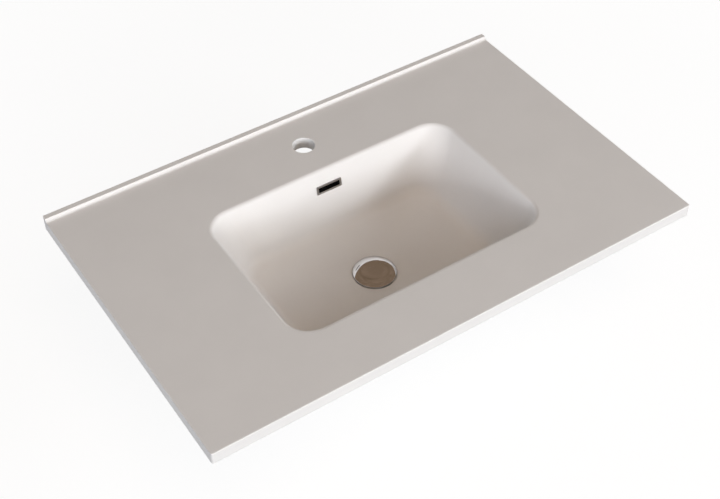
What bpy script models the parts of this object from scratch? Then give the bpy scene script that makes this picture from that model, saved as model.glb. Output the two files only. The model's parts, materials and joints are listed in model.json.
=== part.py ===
"""Vanity-top washbasin: slab and bowl in one casting, framed overflow with its duct, click waste.

Frame: X runs along the wall, Y points to the wall, Z is up. The origin lies on the slab's
underside, on the centreline, in the middle of the strip along the wall that rests on the cabinet.
Depths are counted down from the slab's top.
"""
import math

import bmesh
import bpy

# Fits
GAP = 0.0003              # between pieces that touch
WELD = 0.00003            # points nearer than this are one

# Slab and its lip along the wall
SLAB_W = 0.800
SLAB_D = 0.500
SLAB_T = 0.020
SLAB_ARRIS = 0.0018       # rounding of the top edges
SLAB_CORNER = 0.0030      # rounding of the upright corners
SLAB_SOLE = 0.0006        # rounding of the bottom edges
LIP_T = 0.009
LIP_H = 0.0055            # above the slab
LIP_ARRIS = 0.0008
COVE_R = 0.0045           # hollow between lip and slab
BEARING_STRIP = 0.050     # depth of the strip along the wall that rests on the cabinet
TAP_HOLE_D = 0.035
TAP_BACKSET = 0.072       # wall to the tap hole's centre
TAP_EDGE_R = 0.0005       # rounding of the hole's upper edge

# Bowl
BOWL_W = 0.434            # over the rim's rounding
BOWL_D = 0.276
BOWL_BACKSET = 0.130      # wall to the rim
BOWL_DEPTH = 0.112        # slab top to the floor round the waste
FLOOR_FALL = 0.009        # from the walls' foot to the waste
RIM_R = 0.007
RIM_CORNER_R = 0.045
SIDE_SLOPE = math.radians(68)
END_SLOPE = math.radians(77)     # back and front walls
FOLD_R = 0.022            # hollow between walls and floor
BOWL_WALL = 0.012
FLOOR_T = 0.014           # casting under the floor, at the waste
RECESS_DEPTH = 0.0045     # seat for the waste's flange
LAND_W = 0.003            # level ring of floor round that seat
BOSS_WALL = 0.0045        # of the waste boss, outside the seat
BOSS_FOOT = 0.0075        # of the boss, under its overflow port

# Overflow slot, its frame and its duct
OVERFLOW_BELOW_SLAB = 0.011      # slab's underside to the slot's centre
SLOT_W = 0.037            # clear opening
SLOT_H = 0.0075
FRAME_RIM_W = 0.0038      # of the frame, beside the opening
FRAME_RIM_H = 0.0034      # of the frame, over and under the opening
FRAME_T = 0.0016
FRAME_CORNER_R = 0.0020
SLEEVE_T = 0.0008
DUCT_W = 0.056
DUCT_DEPTH = 0.015
DUCT_WALL = 0.0028
DUCT_BELOW_SLAB = 0.0015
PORT_MARGIN = 0.007       # duct's side wall to the port's side

# Waste body
CAP_R = 0.0335
TRAVEL = 0.009            # of the plug, closed to open
CAP_CLEAR = 0.0010        # seat's edge outside the cap
FLANGE_BACK = 0.0015      # flange's edge inside the cap's
FLANGE_T = 0.0021
DISH_W = 0.0085           # of the flange's shallow dish
DISH_DEPTH = 0.0008
TAIL_R = 0.02075
TAIL_WALL = 0.00375
TAIL_BELOW_WEB = 0.0286
HOLE_CLEAR = 0.00225      # hole in the casting outside the tail
CONE_DROP = 0.0060
SEAL_T = 0.0015
WASTE_SLOTS = 4           # side slots that let the overflow in
WASTE_SLOT_W = 0.008
WASTE_SLOT_H = 0.014

# Fastening under the boss
CONE_SEAL_T = 0.004
CONE_SEAL_W = 0.0092
CONE_NOSE = 0.0020
SLIP_T = 0.0015
SLIP_W = 0.0102
NUT_T = 0.010
NUT_WALL = 0.0070

# Plug
CAP_LIFT = 0.0004         # closed cap above the floor
CAP_EDGE = 0.0030
CAP_RISE = 0.0026
CAP_ROUND = 0.0014
CAP_SKIN = 0.0016
HUB_CLEAR = 0.0030        # hub's side to the waste's bore
HUB_LIP = 0.0020
HUB_LIP_T = 0.0015
PLUG_SEAL_SEAT = 0.0035   # width of seal that rests on the dish
STEM_R = 0.0039
STEM_BITE = 0.0050        # of the stem in the cap
STEM_INSERT = 0.0120      # of the stem in the plunger
LOCK_NUT_T = 0.0040
LOCK_NUT_WALL = 0.0026

# Click mechanism
SHANK_WALL = 0.0017       # plunger's shank round the stem
HEAD_STEP = 0.0013
HEAD_H = 0.0050
LUGS = 4
LUG_STEP = 0.0013
LUG_W = 0.0024
LUG_H = 0.0015
TEETH = 8
TOOTH_H = 0.0010
PIN_R = 0.0025
PIN_BELOW_CAM = 0.0010
CAM_H = 0.0040
CARTRIDGE_WALL = 0.0023   # round the lugs' grooves
CARTRIDGE_FLOOR = 0.0025
COLLAR_T = 0.0040
COLLAR_WALL = 0.0016
COLLAR_SKIRT = 0.0060
COLLAR_BELOW_PLUNGER = 0.0021
SPRING_WIRE_R = 0.0006
SPRING_TURNS = 4
SPRING_CLOSED = 0.0095
SPIGOT_R = 0.0047
SPIGOT_L = 0.0100
WEB_H = 0.0090
WEB_HUB_WALL = 0.0035
SPOKES = 3
SPOKE_W = 0.0030
SPOKE_H = 0.0070

# Fineness of the curved faces
CORNER_STEPS = 8
SIDE_POINTS = 5
FOLD_STEPS = 6
RIM_STEPS = 5
COVE_STEPS = 6
DOME_STEPS = 7
ROUND_LARGE = 48
ROUND_SMALL = 32
SHARP = math.radians(32)

# Plan of the slab and bowl
WALL_Y = BEARING_STRIP / 2
FRONT_Y = WALL_Y - SLAB_D
TAP_Y = WALL_Y - TAP_BACKSET
RIM_BACK_Y = WALL_Y - BOWL_BACKSET
RIM_FRONT_Y = RIM_BACK_Y - BOWL_D
WASTE_Y = (RIM_BACK_Y + RIM_FRONT_Y) / 2

# Radii round the waste's axis
RECESS_R = CAP_R + CAP_CLEAR
BOSS_R = RECESS_R + BOSS_WALL
FLANGE_R = CAP_R - FLANGE_BACK
WASTE_HOLE_R = TAIL_R + HOLE_CLEAR
TAIL_BORE_R = TAIL_R - TAIL_WALL
HUB_R = TAIL_BORE_R - HUB_CLEAR
SHANK_R = STEM_R + GAP + SHANK_WALL
HEAD_R = SHANK_R + HEAD_STEP
LUG_R = HEAD_R + LUG_STEP
CARTRIDGE_R = LUG_R + GAP + CARTRIDGE_WALL
CARTRIDGE_BORE_R = HEAD_R + GAP
WEB_HUB_R = SPIGOT_R + GAP + WEB_HUB_WALL

# Heights of the casting
TOP_Z = SLAB_T
FLOOR_Z = TOP_Z - BOWL_DEPTH
SEAT_Z = FLOOR_Z - RECESS_DEPTH
UNDER_DEPTH = BOWL_DEPTH + FLOOR_T
UNDER_Z = TOP_Z - UNDER_DEPTH
PORT_TOP_Z = UNDER_Z - GAP * 2
PORT_Z = PORT_TOP_Z - (DUCT_DEPTH - DUCT_WALL)
BOSS_Z = PORT_Z - BOSS_FOOT
OVERFLOW_DEPTH = SLAB_T + OVERFLOW_BELOW_SLAB

# Heights of the waste, from the flange's seat and from the boss
FLANGE_SEAL_Z = SEAT_Z + GAP
FLANGE_UNDER_Z = FLANGE_SEAL_Z + SEAL_T + GAP
FLANGE_Z = FLANGE_UNDER_Z + FLANGE_T
DISH_Z = FLANGE_Z - DISH_DEPTH
CONE_SEAL_Z = BOSS_Z - GAP - CONE_SEAL_T
SLIP_Z = CONE_SEAL_Z - GAP - SLIP_T
NUT_Z = SLIP_Z - GAP - NUT_T

# Heights of the plug and its mechanism, closed, from the floor down
CAP_Z = FLOOR_Z + CAP_LIFT
CEILING_Z = CAP_Z + CAP_EDGE - CAP_SKIN
PLUG_SEAL_Z = DISH_Z + DISH_DEPTH * PLUG_SEAL_SEAT / DISH_W + GAP
HUB_Z = PLUG_SEAL_Z - GAP - HUB_LIP_T
STEM_TOP_Z = HUB_Z + STEM_BITE
LOCK_NUT_Z = HUB_Z - GAP - LOCK_NUT_T
PLUNGER_Z = LOCK_NUT_Z - GAP
STEM_Z = PLUNGER_Z - STEM_INSERT
COLLAR_TOP_Z = PLUNGER_Z - COLLAR_BELOW_PLUNGER
CARTRIDGE_TOP_Z = COLLAR_TOP_Z - COLLAR_T - GAP
HEAD_TOP_Z = CARTRIDGE_TOP_Z - TRAVEL
HEAD_Z = HEAD_TOP_Z - HEAD_H
CAM_TOP_Z = HEAD_Z - GAP
CAM_Z = CAM_TOP_Z - CAM_H
PIN_Z = CAM_Z - PIN_BELOW_CAM
SPRING_Z = CAM_Z - GAP - SPRING_CLOSED
CARTRIDGE_FLOOR_Z = SPRING_Z - GAP
CARTRIDGE_Z = CARTRIDGE_FLOOR_Z - CARTRIDGE_FLOOR
WEB_Z = CARTRIDGE_Z - GAP
TAIL_Z = WEB_Z - WEB_H - TAIL_BELOW_WEB


# Making and placing pieces

def clear_scene():
    for obj in list(bpy.data.objects):
        bpy.data.objects.remove(obj, do_unlink=True)


def new_collection(name):
    collection = bpy.data.collections.new(name)
    bpy.context.scene.collection.children.link(collection)
    return collection


clear_scene()
PARTS = new_collection("washbasin")
CUTTERS = new_collection("cutters")


def material(name, colour, roughness, metallic=0.0):
    """A plain Principled material of one colour."""
    made = bpy.data.materials.new(name)
    made.use_nodes = True
    shader = made.node_tree.nodes["Principled BSDF"]
    shader.inputs["Base Color"].default_value = (*colour, 1.0)
    shader.inputs["Roughness"].default_value = roughness
    shader.inputs["Metallic"].default_value = metallic
    made.diffuse_color = (*colour, 1.0)
    return made


def place(name, mesh, made_of=None):
    """Puts a mesh among the parts, or with no material among the cutters."""
    obj = bpy.data.objects.new(name, mesh)
    if made_of is None:
        CUTTERS.objects.link(obj)
        obj.hide_render = True
        obj.display_type = 'WIRE'
    else:
        PARTS.objects.link(obj)
        mesh.materials.append(made_of)
    return obj


def mesh_from(bm, name):
    bmesh.ops.recalc_face_normals(bm, faces=bm.faces)
    mesh = bpy.data.meshes.new(name)
    bm.to_mesh(mesh)
    bm.free()
    return mesh


def evaluated_mesh(obj):
    """The mesh that an object's curve or modifiers give, welded."""
    depsgraph = bpy.context.evaluated_depsgraph_get()
    mesh = bpy.data.meshes.new_from_object(obj.evaluated_get(depsgraph))
    bm = bmesh.new()
    bm.from_mesh(mesh)
    bmesh.ops.remove_doubles(bm, verts=bm.verts, dist=WELD)
    bmesh.ops.dissolve_degenerate(bm, edges=bm.edges, dist=WELD)
    bm.to_mesh(mesh)
    bm.free()
    return mesh


def mesh_of_curve(curve, name, made_of=None):
    """Turns a curve's solid into a mesh object in the same place."""
    drawn = bpy.data.objects.new(name + "_curve", curve)
    CUTTERS.objects.link(drawn)
    mesh = evaluated_mesh(drawn)
    matrix = drawn.matrix_world.copy()
    bpy.data.objects.remove(drawn, do_unlink=True)
    bm = bmesh.new()
    bm.from_mesh(mesh)
    bmesh.ops.dissolve_limit(bm, angle_limit=math.radians(0.1), verts=bm.verts, edges=bm.edges)
    obj = place(name, mesh_from(bm, name), made_of)
    obj.matrix_world = matrix
    return obj


def settle(obj):
    """Fixes a finished piece's modifiers into its mesh and marks its sharp edges."""
    mesh = evaluated_mesh(obj)
    obj.modifiers.clear()
    obj.data = mesh
    mesh.shade_smooth()
    mesh.set_sharp_from_angle(angle=SHARP)


def combine(obj, other, operation):
    boolean = obj.modifiers.new(other.name, 'BOOLEAN')
    boolean.operation = operation
    boolean.solver = 'EXACT'
    boolean.object = other


def cut(obj, *cutters):
    for cutter in cutters:
        combine(obj, cutter, 'DIFFERENCE')


def join(obj, *others):
    for other in others:
        combine(obj, other, 'UNION')


# Basic shapes

def box(name, x0, x1, y0, y1, z0, z1, made_of=None):
    bm = bmesh.new()
    bmesh.ops.create_cube(bm, size=1.0)
    bmesh.ops.scale(bm, verts=bm.verts, vec=(x1 - x0, y1 - y0, z1 - z0))
    bmesh.ops.translate(bm, verts=bm.verts,
                        vec=((x0 + x1) / 2, (y0 + y1) / 2, (z0 + z1) / 2))
    return place(name, mesh_from(bm, name), made_of)


def cylinder(name, radius, low, high, steps, made_of=None):
    """An upright cylinder about its own Z axis."""
    bm = bmesh.new()
    bmesh.ops.create_cone(bm, cap_ends=True, segments=steps, radius1=radius, radius2=radius,
                          depth=high - low)
    bmesh.ops.translate(bm, verts=bm.verts, vec=(0, 0, (low + high) / 2))
    return place(name, mesh_from(bm, name), made_of)


def turned(name, profile, steps, made_of=None, closed=False):
    """A profile of (radius, height) points turned about Z, listed down its outer side."""
    bm = bmesh.new()
    verts = [bm.verts.new((radius, 0, height)) for radius, height in profile]
    for a, b in zip(verts, verts[1:]):
        bm.edges.new((a, b))
    if closed:
        bm.edges.new((verts[-1], verts[0]))
    mesh = bpy.data.meshes.new(name)
    bm.to_mesh(mesh)
    bm.free()
    obj = place(name, mesh, made_of)
    screw = obj.modifiers.new("turn", 'SCREW')
    screw.axis = 'Z'
    screw.angle = math.tau
    screw.screw_offset = 0.0
    screw.steps = steps
    screw.render_steps = steps
    screw.use_merge_vertices = True
    screw.merge_threshold = WELD
    screw.use_smooth_shade = True
    return obj


def ring(name, inner, outer, low, high, steps, made_of=None):
    """A plain washer."""
    profile = [(outer, high), (outer, low), (inner, low), (inner, high)]
    return turned(name, profile, steps, made_of, closed=True)


def drawn_outline(name, outline, depth, made_of=None):
    """A flat outline in XY given a depth along Z, half to each side."""
    curve = bpy.data.curves.new(name, 'CURVE')
    curve.dimensions = '2D'
    curve.fill_mode = 'BOTH'
    curve.extrude = depth / 2
    spline = curve.splines.new('POLY')
    spline.points.add(len(outline) - 1)
    for point, (x, y) in zip(spline.points, outline):
        point.co = (x, y, 0, 1)
    spline.use_cyclic_u = True
    return mesh_of_curve(curve, name, made_of)


def side_profile(name, outline, width, made_of=None):
    """An outline of (y, z) points drawn out along X, centred."""
    obj = drawn_outline(name, outline, width, made_of)
    obj.rotation_euler = (math.pi / 2, 0, math.pi / 2)
    return obj


def round_rectangle(x0, x1, y0, y1, radius, corner_steps=CORNER_STEPS, side_points=0):
    """Points round a rectangle with round corners, with extra points on each straight side."""
    corners = (
        (x1 - radius, y1 - radius, 0.0),
        (x0 + radius, y1 - radius, math.pi / 2),
        (x0 + radius, y0 + radius, math.pi),
        (x1 - radius, y0 + radius, math.pi * 1.5),
    )
    arcs = []
    for cx, cy, start in corners:
        angles = [start + math.pi / 2 * step / corner_steps for step in range(corner_steps + 1)]
        arcs.append([(cx + radius * math.cos(a), cy + radius * math.sin(a)) for a in angles])
    points = []
    for arc, following in zip(arcs, arcs[1:] + arcs[:1]):
        points += arc
        (xa, ya), (xb, yb) = arc[-1], following[0]
        for k in range(1, side_points + 1):
            share = k / (side_points + 1)
            points.append((xa + (xb - xa) * share, ya + (yb - ya) * share))
    return points


def round_bar(name, width, height, radius, low, high, made_of=None):
    """A bar along Z whose section is a rectangle with round corners."""
    outline = round_rectangle(-width / 2, width / 2, -height / 2, height / 2, radius, 4)
    obj = drawn_outline(name, outline, high - low, made_of)
    for vert in obj.data.vertices:
        vert.co.z += (low + high) / 2
    return obj


def loft(name, rings, made_of=None):
    """A skin over unlike outlines of equal point counts, closed at both ends."""
    bm = bmesh.new()
    rows = [[bm.verts.new(point) for point in points] for points in rings]
    count = len(rows[0])
    for above, below in zip(rows, rows[1:]):
        for i in range(count):
            j = (i + 1) % count
            bm.faces.new((above[i], above[j], below[j], below[i]))
    bm.faces.new(rows[0])
    bm.faces.new(rows[-1])
    return place(name, mesh_from(bm, name), made_of)


# Casting: slab

def edge_rounding(edge):
    """Radius for one edge of the slab's blank, whose local axes are depth, height and side."""
    a, b = (vert.co for vert in edge.verts)
    depth, height, side = (a + b) / 2
    at_end = abs(abs(side) - SLAB_W / 2) < WELD
    if abs(a.y - b.y) > SLAB_T / 2:
        return SLAB_CORNER if at_end else 0.0
    if height < WELD:
        return SLAB_SOLE
    if depth < FRONT_Y + WELD:
        return SLAB_ARRIS
    if at_end or height > TOP_Z + LIP_H - WELD:
        return LIP_ARRIS
    return 0.0


def slab(made_of):
    """Slab and lip in one section, drawn out along X, with its edges rounded."""
    lip_y = WALL_Y - LIP_T
    outline = [(WALL_Y, 0.0), (FRONT_Y, 0.0), (FRONT_Y, TOP_Z)]
    for step in range(COVE_STEPS + 1):
        angle = math.pi / 2 * step / COVE_STEPS
        outline.append((lip_y - COVE_R + COVE_R * math.sin(angle),
                        TOP_Z + COVE_R * (1 - math.cos(angle))))
    outline += [(lip_y, TOP_Z + LIP_H), (WALL_Y, TOP_Z + LIP_H)]
    obj = side_profile("basin_top", outline, SLAB_W, made_of)
    bm = bmesh.new()
    bm.from_mesh(obj.data)
    weight = bm.edges.layers.float.new("bevel_weight_edge")
    for edge in bm.edges:
        edge[weight] = edge_rounding(edge) / SLAB_CORNER
    bm.to_mesh(obj.data)
    bm.free()
    bevel = obj.modifiers.new("edges", 'BEVEL')
    bevel.limit_method = 'WEIGHT'
    bevel.width = SLAB_CORNER
    bevel.segments = 3
    return obj


def tap_hole_cutter():
    edge_steps = 4
    radius = TAP_HOLE_D / 2
    over = TOP_Z + TAP_EDGE_R
    profile = [(0, over), (radius + TAP_EDGE_R, over)]
    for step in range(edge_steps + 1):
        angle = math.pi / 2 * step / edge_steps
        profile.append((radius + TAP_EDGE_R * (1 - math.sin(angle)),
                        TOP_Z - TAP_EDGE_R * (1 - math.cos(angle))))
    profile += [(radius, -TAP_EDGE_R), (0, -TAP_EDGE_R)]
    cutter = turned("tap_hole_cutter", profile, ROUND_LARGE)
    cutter.location = (0, TAP_Y, 0)
    return cutter


# Casting: bowl

def wall_inset(depth, slope, floor_depth, fold_r, grow):
    """How far a wall stands in from the rim at a depth; grow moves it out to the shell."""
    rim_end = RIM_R * (1 - math.cos(slope))
    fold_start = floor_depth - fold_r * (1 - math.cos(slope))
    if grow == 0 and depth < rim_end:
        return RIM_R * math.sin(math.acos(1 - depth / RIM_R))
    straight = min(depth, fold_start)
    inset = RIM_R * math.tan(slope / 2) + straight / math.tan(slope) - grow / math.sin(slope)
    if depth > fold_start:
        turn = math.acos(1 - (floor_depth - depth) / fold_r)
        inset += fold_r * (math.sin(slope) - math.sin(turn))
    return inset


def corner_radius(depth, floor_depth, fold_r, grow):
    """Plan radius of the bowl's corners, which tightens over the rim and the fold."""
    rim_end = RIM_R * (1 - math.cos(END_SLOPE))
    fold_start = floor_depth - fold_r * (1 - math.cos(END_SLOPE))
    if grow == 0 and depth < rim_end:
        return RIM_CORNER_R - wall_inset(depth, END_SLOPE, floor_depth, fold_r, grow)
    radius = RIM_CORNER_R + grow - RIM_R * math.sin(END_SLOPE)
    if depth > fold_start:
        turn = math.acos(1 - (floor_depth - depth) / fold_r)
        radius -= fold_r * (math.sin(END_SLOPE) - math.sin(turn))
    return radius


def bowl_outline(depth, floor_depth, fold_r, grow):
    side = BOWL_W / 2 - wall_inset(depth, SIDE_SLOPE, floor_depth, fold_r, grow)
    end = wall_inset(depth, END_SLOPE, floor_depth, fold_r, grow)
    radius = corner_radius(depth, floor_depth, fold_r, grow)
    outline = round_rectangle(-side, side, RIM_FRONT_Y + end, RIM_BACK_Y - end, radius,
                              side_points=SIDE_POINTS)
    return [(x, y, TOP_Z - depth) for x, y in outline]


def rim_depths():
    """Depths at even turns of the rim's rounding."""
    turns = [END_SLOPE * step / RIM_STEPS for step in range(RIM_STEPS + 1)]
    return [RIM_R * (1 - math.cos(turn)) for turn in turns]


def fold_depths(floor_depth, fold_r):
    """Depths at even turns of the fold, from the wall's foot to the floor."""
    turns = [END_SLOPE * (1 - step / FOLD_STEPS) for step in range(FOLD_STEPS + 1)]
    return [floor_depth - fold_r * (1 - math.cos(turn)) for turn in turns]


def bowl_hollow():
    """The space in the bowl: rim, walls, fold and a floor that falls to a level round land."""
    floor_depth = BOWL_DEPTH - FLOOR_FALL
    depths = rim_depths() + fold_depths(floor_depth, FOLD_R)
    rings = [bowl_outline(depth, floor_depth, FOLD_R, 0.0) for depth in depths]
    mouth = [(x, y, TOP_Z + RIM_R) for x, y, z in rings[0]]
    land = []
    for x, y, z in rings[-1]:
        scale = (RECESS_R + LAND_W) / math.hypot(x, y - WASTE_Y)
        land.append((x * scale, WASTE_Y + (y - WASTE_Y) * scale, FLOOR_Z))
    return loft("bowl_hollow", [mouth] + rings + [land])


def shell_depths():
    return [SLAB_T / 2] + fold_depths(UNDER_DEPTH, FOLD_R + BOWL_WALL)


def bowl_shell():
    """The outside of the bowl, level underneath."""
    fold_r = FOLD_R + BOWL_WALL
    rings = [bowl_outline(depth, UNDER_DEPTH, fold_r, BOWL_WALL) for depth in shell_depths()]
    return loft("bowl_shell", rings)


def at_waste(obj, angle=0.0, reach=0.0):
    """Moves a piece to the waste's axis, or out from it at an angle."""
    obj.location = (reach * math.cos(angle), WASTE_Y + reach * math.sin(angle), 0)
    obj.rotation_euler.z += angle
    return obj


def waste_boss():
    top = (FLOOR_Z + UNDER_Z) / 2
    return at_waste(cylinder("waste_boss", BOSS_R, BOSS_Z, top, ROUND_LARGE))


def waste_hole_cutter():
    """Seat for the flange and the hole under it."""
    over = FLOOR_Z + RECESS_DEPTH
    under = BOSS_Z - RECESS_DEPTH
    profile = [(0, over), (RECESS_R, over), (RECESS_R, SEAT_Z), (WASTE_HOLE_R, SEAT_Z),
               (WASTE_HOLE_R, under), (0, under)]
    return at_waste(turned("waste_hole_cutter", profile, ROUND_LARGE))


def port_cutter():
    """Window in the back of the boss, where the duct ends."""
    half = DUCT_W / 2 - DUCT_WALL - PORT_MARGIN
    return box("port_cutter", -half, half, WASTE_Y + WASTE_HOLE_R / 2, WASTE_Y + BOSS_R * 1.2,
               PORT_Z, PORT_TOP_Z)


def stand_on_back_wall(obj):
    """Turns a piece drawn face up so that it looks out of the back wall at the overflow."""
    inset = wall_inset(OVERFLOW_DEPTH, END_SLOPE, BOWL_DEPTH - FLOOR_FALL, FOLD_R, 0.0)
    obj.location = (0, RIM_BACK_Y - inset, TOP_Z - OVERFLOW_DEPTH)
    obj.rotation_euler = (END_SLOPE, 0, 0)
    return obj


def overflow_hole_cutter():
    margin = 2 * (SLEEVE_T + GAP)
    cutter = round_bar("overflow_hole_cutter", SLOT_W + margin, SLOT_H + margin, FRAME_CORNER_R,
                       -BOWL_WALL * 1.5, BOWL_WALL / 2)
    return stand_on_back_wall(cutter)


def basin_top(made_of):
    obj = slab(made_of)
    join(obj, bowl_shell(), waste_boss())
    cut(obj, bowl_hollow(), waste_hole_cutter(), tap_hole_cutter(), overflow_hole_cutter(),
        port_cutter())
    return obj


# Overflow

def overflow_trim(made_of):
    """Frame on the bowl's wall, with a sleeve through it."""
    frame = round_bar("overflow_trim", SLOT_W + 2 * FRAME_RIM_W, SLOT_H + 2 * FRAME_RIM_H,
                      FRAME_CORNER_R, GAP, GAP + FRAME_T, made_of)
    bevel = frame.modifiers.new("soft_edge", 'BEVEL')
    bevel.width = FRAME_T / 4
    bevel.segments = 2
    bevel.limit_method = 'ANGLE'
    bevel.angle_limit = math.radians(60)
    sleeve = round_bar("trim_sleeve", SLOT_W + 2 * SLEEVE_T, SLOT_H + 2 * SLEEVE_T,
                       FRAME_CORNER_R - GAP, FRAME_T - BOWL_WALL, GAP + FRAME_T / 2)
    mouth = round_bar("trim_mouth", SLOT_W, SLOT_H, FRAME_CORNER_R / 2, -BOWL_WALL * 2,
                      BOWL_WALL)
    join(stand_on_back_wall(frame), stand_on_back_wall(sleeve))
    cut(frame, stand_on_back_wall(mouth))
    return frame


def offset_path(points, distance):
    """Moves a (y, z) path sideways to its left, keeping each stretch parallel to itself."""
    normals = []
    for (ya, za), (yb, zb) in zip(points, points[1:]):
        length = math.hypot(yb - ya, zb - za)
        normals.append(((za - zb) / length, (yb - ya) / length))
    normals = [normals[0]] + normals + [normals[-1]]
    moved = []
    for (y, z), before, after in zip(points, normals, normals[1:]):
        along = 1 + before[0] * after[0] + before[1] * after[1]
        moved.append((y + distance * (before[0] + after[0]) / along,
                      z + distance * (before[1] + after[1]) / along))
    return moved


def shell_path(start_depth, end_y):
    """Runs down the outside of the bowl's back and along its underside to the boss."""
    fold_r = FOLD_R + BOWL_WALL
    depths = [start_depth] + [depth for depth in shell_depths() if depth > start_depth]
    path = [(RIM_BACK_Y - wall_inset(d, END_SLOPE, UNDER_DEPTH, fold_r, BOWL_WALL), TOP_Z - d)
            for d in depths]
    return path + [(end_y, UNDER_Z)]


def overflow_duct(made_of):
    """Open-backed channel bonded on the bowl, from the slot down to the boss's port."""
    start = SLAB_T + DUCT_BELOW_SLAB
    path = shell_path(start, WASTE_Y + WASTE_HOLE_R / 2)
    outline = offset_path(path, GAP) + offset_path(path, GAP + DUCT_DEPTH)[::-1]
    duct = side_profile("overflow_duct", outline, DUCT_W, made_of)
    inner = shell_path(start + DUCT_WALL, WASTE_Y - BOSS_R)
    hollow = offset_path(inner, -DUCT_WALL) + offset_path(inner, GAP + DUCT_DEPTH - DUCT_WALL)[::-1]
    cavity = side_profile("duct_cavity", hollow, DUCT_W - 2 * DUCT_WALL)
    clearance = at_waste(cylinder("duct_end_cutter", BOSS_R + GAP, TAIL_Z, FLOOR_Z, ROUND_LARGE))
    cut(duct, cavity, clearance)
    return duct


# Waste

def waste_flange_seal(made_of):
    return at_waste(ring("waste_flange_seal", TAIL_R + GAP, FLANGE_R - GAP, FLANGE_SEAL_Z,
                         FLANGE_SEAL_Z + SEAL_T, ROUND_LARGE, made_of))


def around_waste(count, build):
    """Builds a piece drawn along +X at each of count equal turns, the first towards the wall."""
    turns = [math.pi / 2 + math.tau * index / count for index in range(count)]
    return [at_waste(build(index), turn) for index, turn in enumerate(turns)]


def waste_slot_cutter(index):
    """Side slot that lets the overflow water into the tail."""
    return box("waste_slot_%d" % index, TAIL_BORE_R - TAIL_WALL, TAIL_R + TAIL_WALL,
               -WASTE_SLOT_W / 2, WASTE_SLOT_W / 2, PORT_TOP_Z - WASTE_SLOT_H, PORT_TOP_Z)


def web_spoke(index):
    """One arm of the cross that carries the click cartridge."""
    return box("web_spoke_%d" % index, (SPIGOT_R + WEB_HUB_R) / 2, (TAIL_BORE_R + TAIL_R) / 2,
               -SPOKE_W / 2, SPOKE_W / 2, WEB_Z - WEB_H, WEB_Z - WEB_H + SPOKE_H)


def waste_body(made_of):
    """Flange, dished seat, slotted tail and the cross inside it."""
    soft = FLANGE_T / 4
    dish_r = TAIL_R - GAP
    profile = [
        (FLANGE_R - soft, FLANGE_Z), (FLANGE_R, FLANGE_Z - soft), (FLANGE_R, FLANGE_UNDER_Z),
        (TAIL_R, FLANGE_UNDER_Z), (TAIL_R, TAIL_Z), (TAIL_BORE_R, TAIL_Z),
        (TAIL_BORE_R, DISH_Z - CONE_DROP), (dish_r, DISH_Z), (dish_r + DISH_W, FLANGE_Z),
    ]
    body = at_waste(turned("waste_body", profile, ROUND_LARGE, made_of, closed=True))
    hub = at_waste(ring("web_hub", SPIGOT_R + GAP, WEB_HUB_R, WEB_Z - WEB_H, WEB_Z, ROUND_SMALL))
    join(body, hub, *around_waste(SPOKES, web_spoke))
    cut(body, *around_waste(WASTE_SLOTS, waste_slot_cutter))
    return body


def waste_cone_seal(made_of):
    """Rubber washer whose nose enters the hole from below."""
    top = CONE_SEAL_Z + CONE_SEAL_T
    inner = TAIL_R + GAP
    profile = [(WASTE_HOLE_R - GAP * 2, top + CONE_NOSE), (WASTE_HOLE_R - GAP, top),
               (TAIL_R + CONE_SEAL_W, top), (TAIL_R + CONE_SEAL_W, CONE_SEAL_Z),
               (inner, CONE_SEAL_Z), (inner, top + CONE_NOSE)]
    return at_waste(turned("waste_cone_seal", profile, ROUND_LARGE, made_of, closed=True))


def waste_slip_washer(made_of):
    return at_waste(ring("waste_slip_washer", TAIL_R + GAP, TAIL_R + SLIP_W, SLIP_Z,
                         SLIP_Z + SLIP_T, ROUND_LARGE, made_of))


def hex_nut(name, bore_r, wall, low, high, steps, made_of):
    """Hexagon with turned-down corners and a plain bore."""
    flat_r = bore_r + wall
    corner_r = flat_r / math.cos(math.pi / 6)
    chamfer = (high - low) / 6
    nut = at_waste(cylinder(name, corner_r, low, high, 6, made_of))
    blank = turned(name + "_blank", [
        (0, high + chamfer), (flat_r - chamfer, high + chamfer),
        (corner_r + chamfer, high - chamfer), (corner_r + chamfer, low + chamfer),
        (flat_r - chamfer, low - chamfer), (0, low - chamfer)], steps)
    combine(nut, at_waste(blank, math.pi / steps), 'INTERSECT')
    cut(nut, at_waste(cylinder(name + "_bore", bore_r, low - chamfer, high + chamfer, steps)))
    return nut


def waste_back_nut(made_of):
    return hex_nut("waste_back_nut", TAIL_R + GAP, NUT_WALL, NUT_Z, NUT_Z + NUT_T, ROUND_LARGE,
                   made_of)


# Plug

def plug_cap(made_of):
    """Low domed cap with a rolled edge and a hub that holds the seal and the stem."""
    roll_steps = 4
    shoulder = CAP_Z + CAP_EDGE
    flat_r = CAP_R - CAP_ROUND
    profile = []
    for step in range(DOME_STEPS + 1):
        share = step / DOME_STEPS
        profile.append((flat_r * share, shoulder + CAP_RISE * (1 - share ** 2)))
    for step in range(1, roll_steps + 1):
        angle = math.pi / 2 * step / roll_steps
        profile.append((flat_r + CAP_ROUND * math.sin(angle),
                        shoulder - CAP_ROUND * (1 - math.cos(angle))))
    profile += [
        (CAP_R, CAP_Z), (CAP_R - CAP_SKIN, CAP_Z), (CAP_R - CAP_SKIN, CEILING_Z),
        (HUB_R, CEILING_Z), (HUB_R, HUB_Z + HUB_LIP_T), (HUB_R + HUB_LIP, HUB_Z + HUB_LIP_T),
        (HUB_R + HUB_LIP, HUB_Z), (STEM_R + GAP, HUB_Z), (STEM_R + GAP, STEM_TOP_Z + GAP),
        (0, STEM_TOP_Z + GAP),
    ]
    return at_waste(turned("plug_cap", profile, ROUND_LARGE, made_of))


def plug_seal(made_of):
    return at_waste(ring("plug_seal", HUB_R + GAP, TAIL_R + PLUG_SEAL_SEAT, PLUG_SEAL_Z,
                         CEILING_Z - GAP, ROUND_LARGE, made_of))


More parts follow.
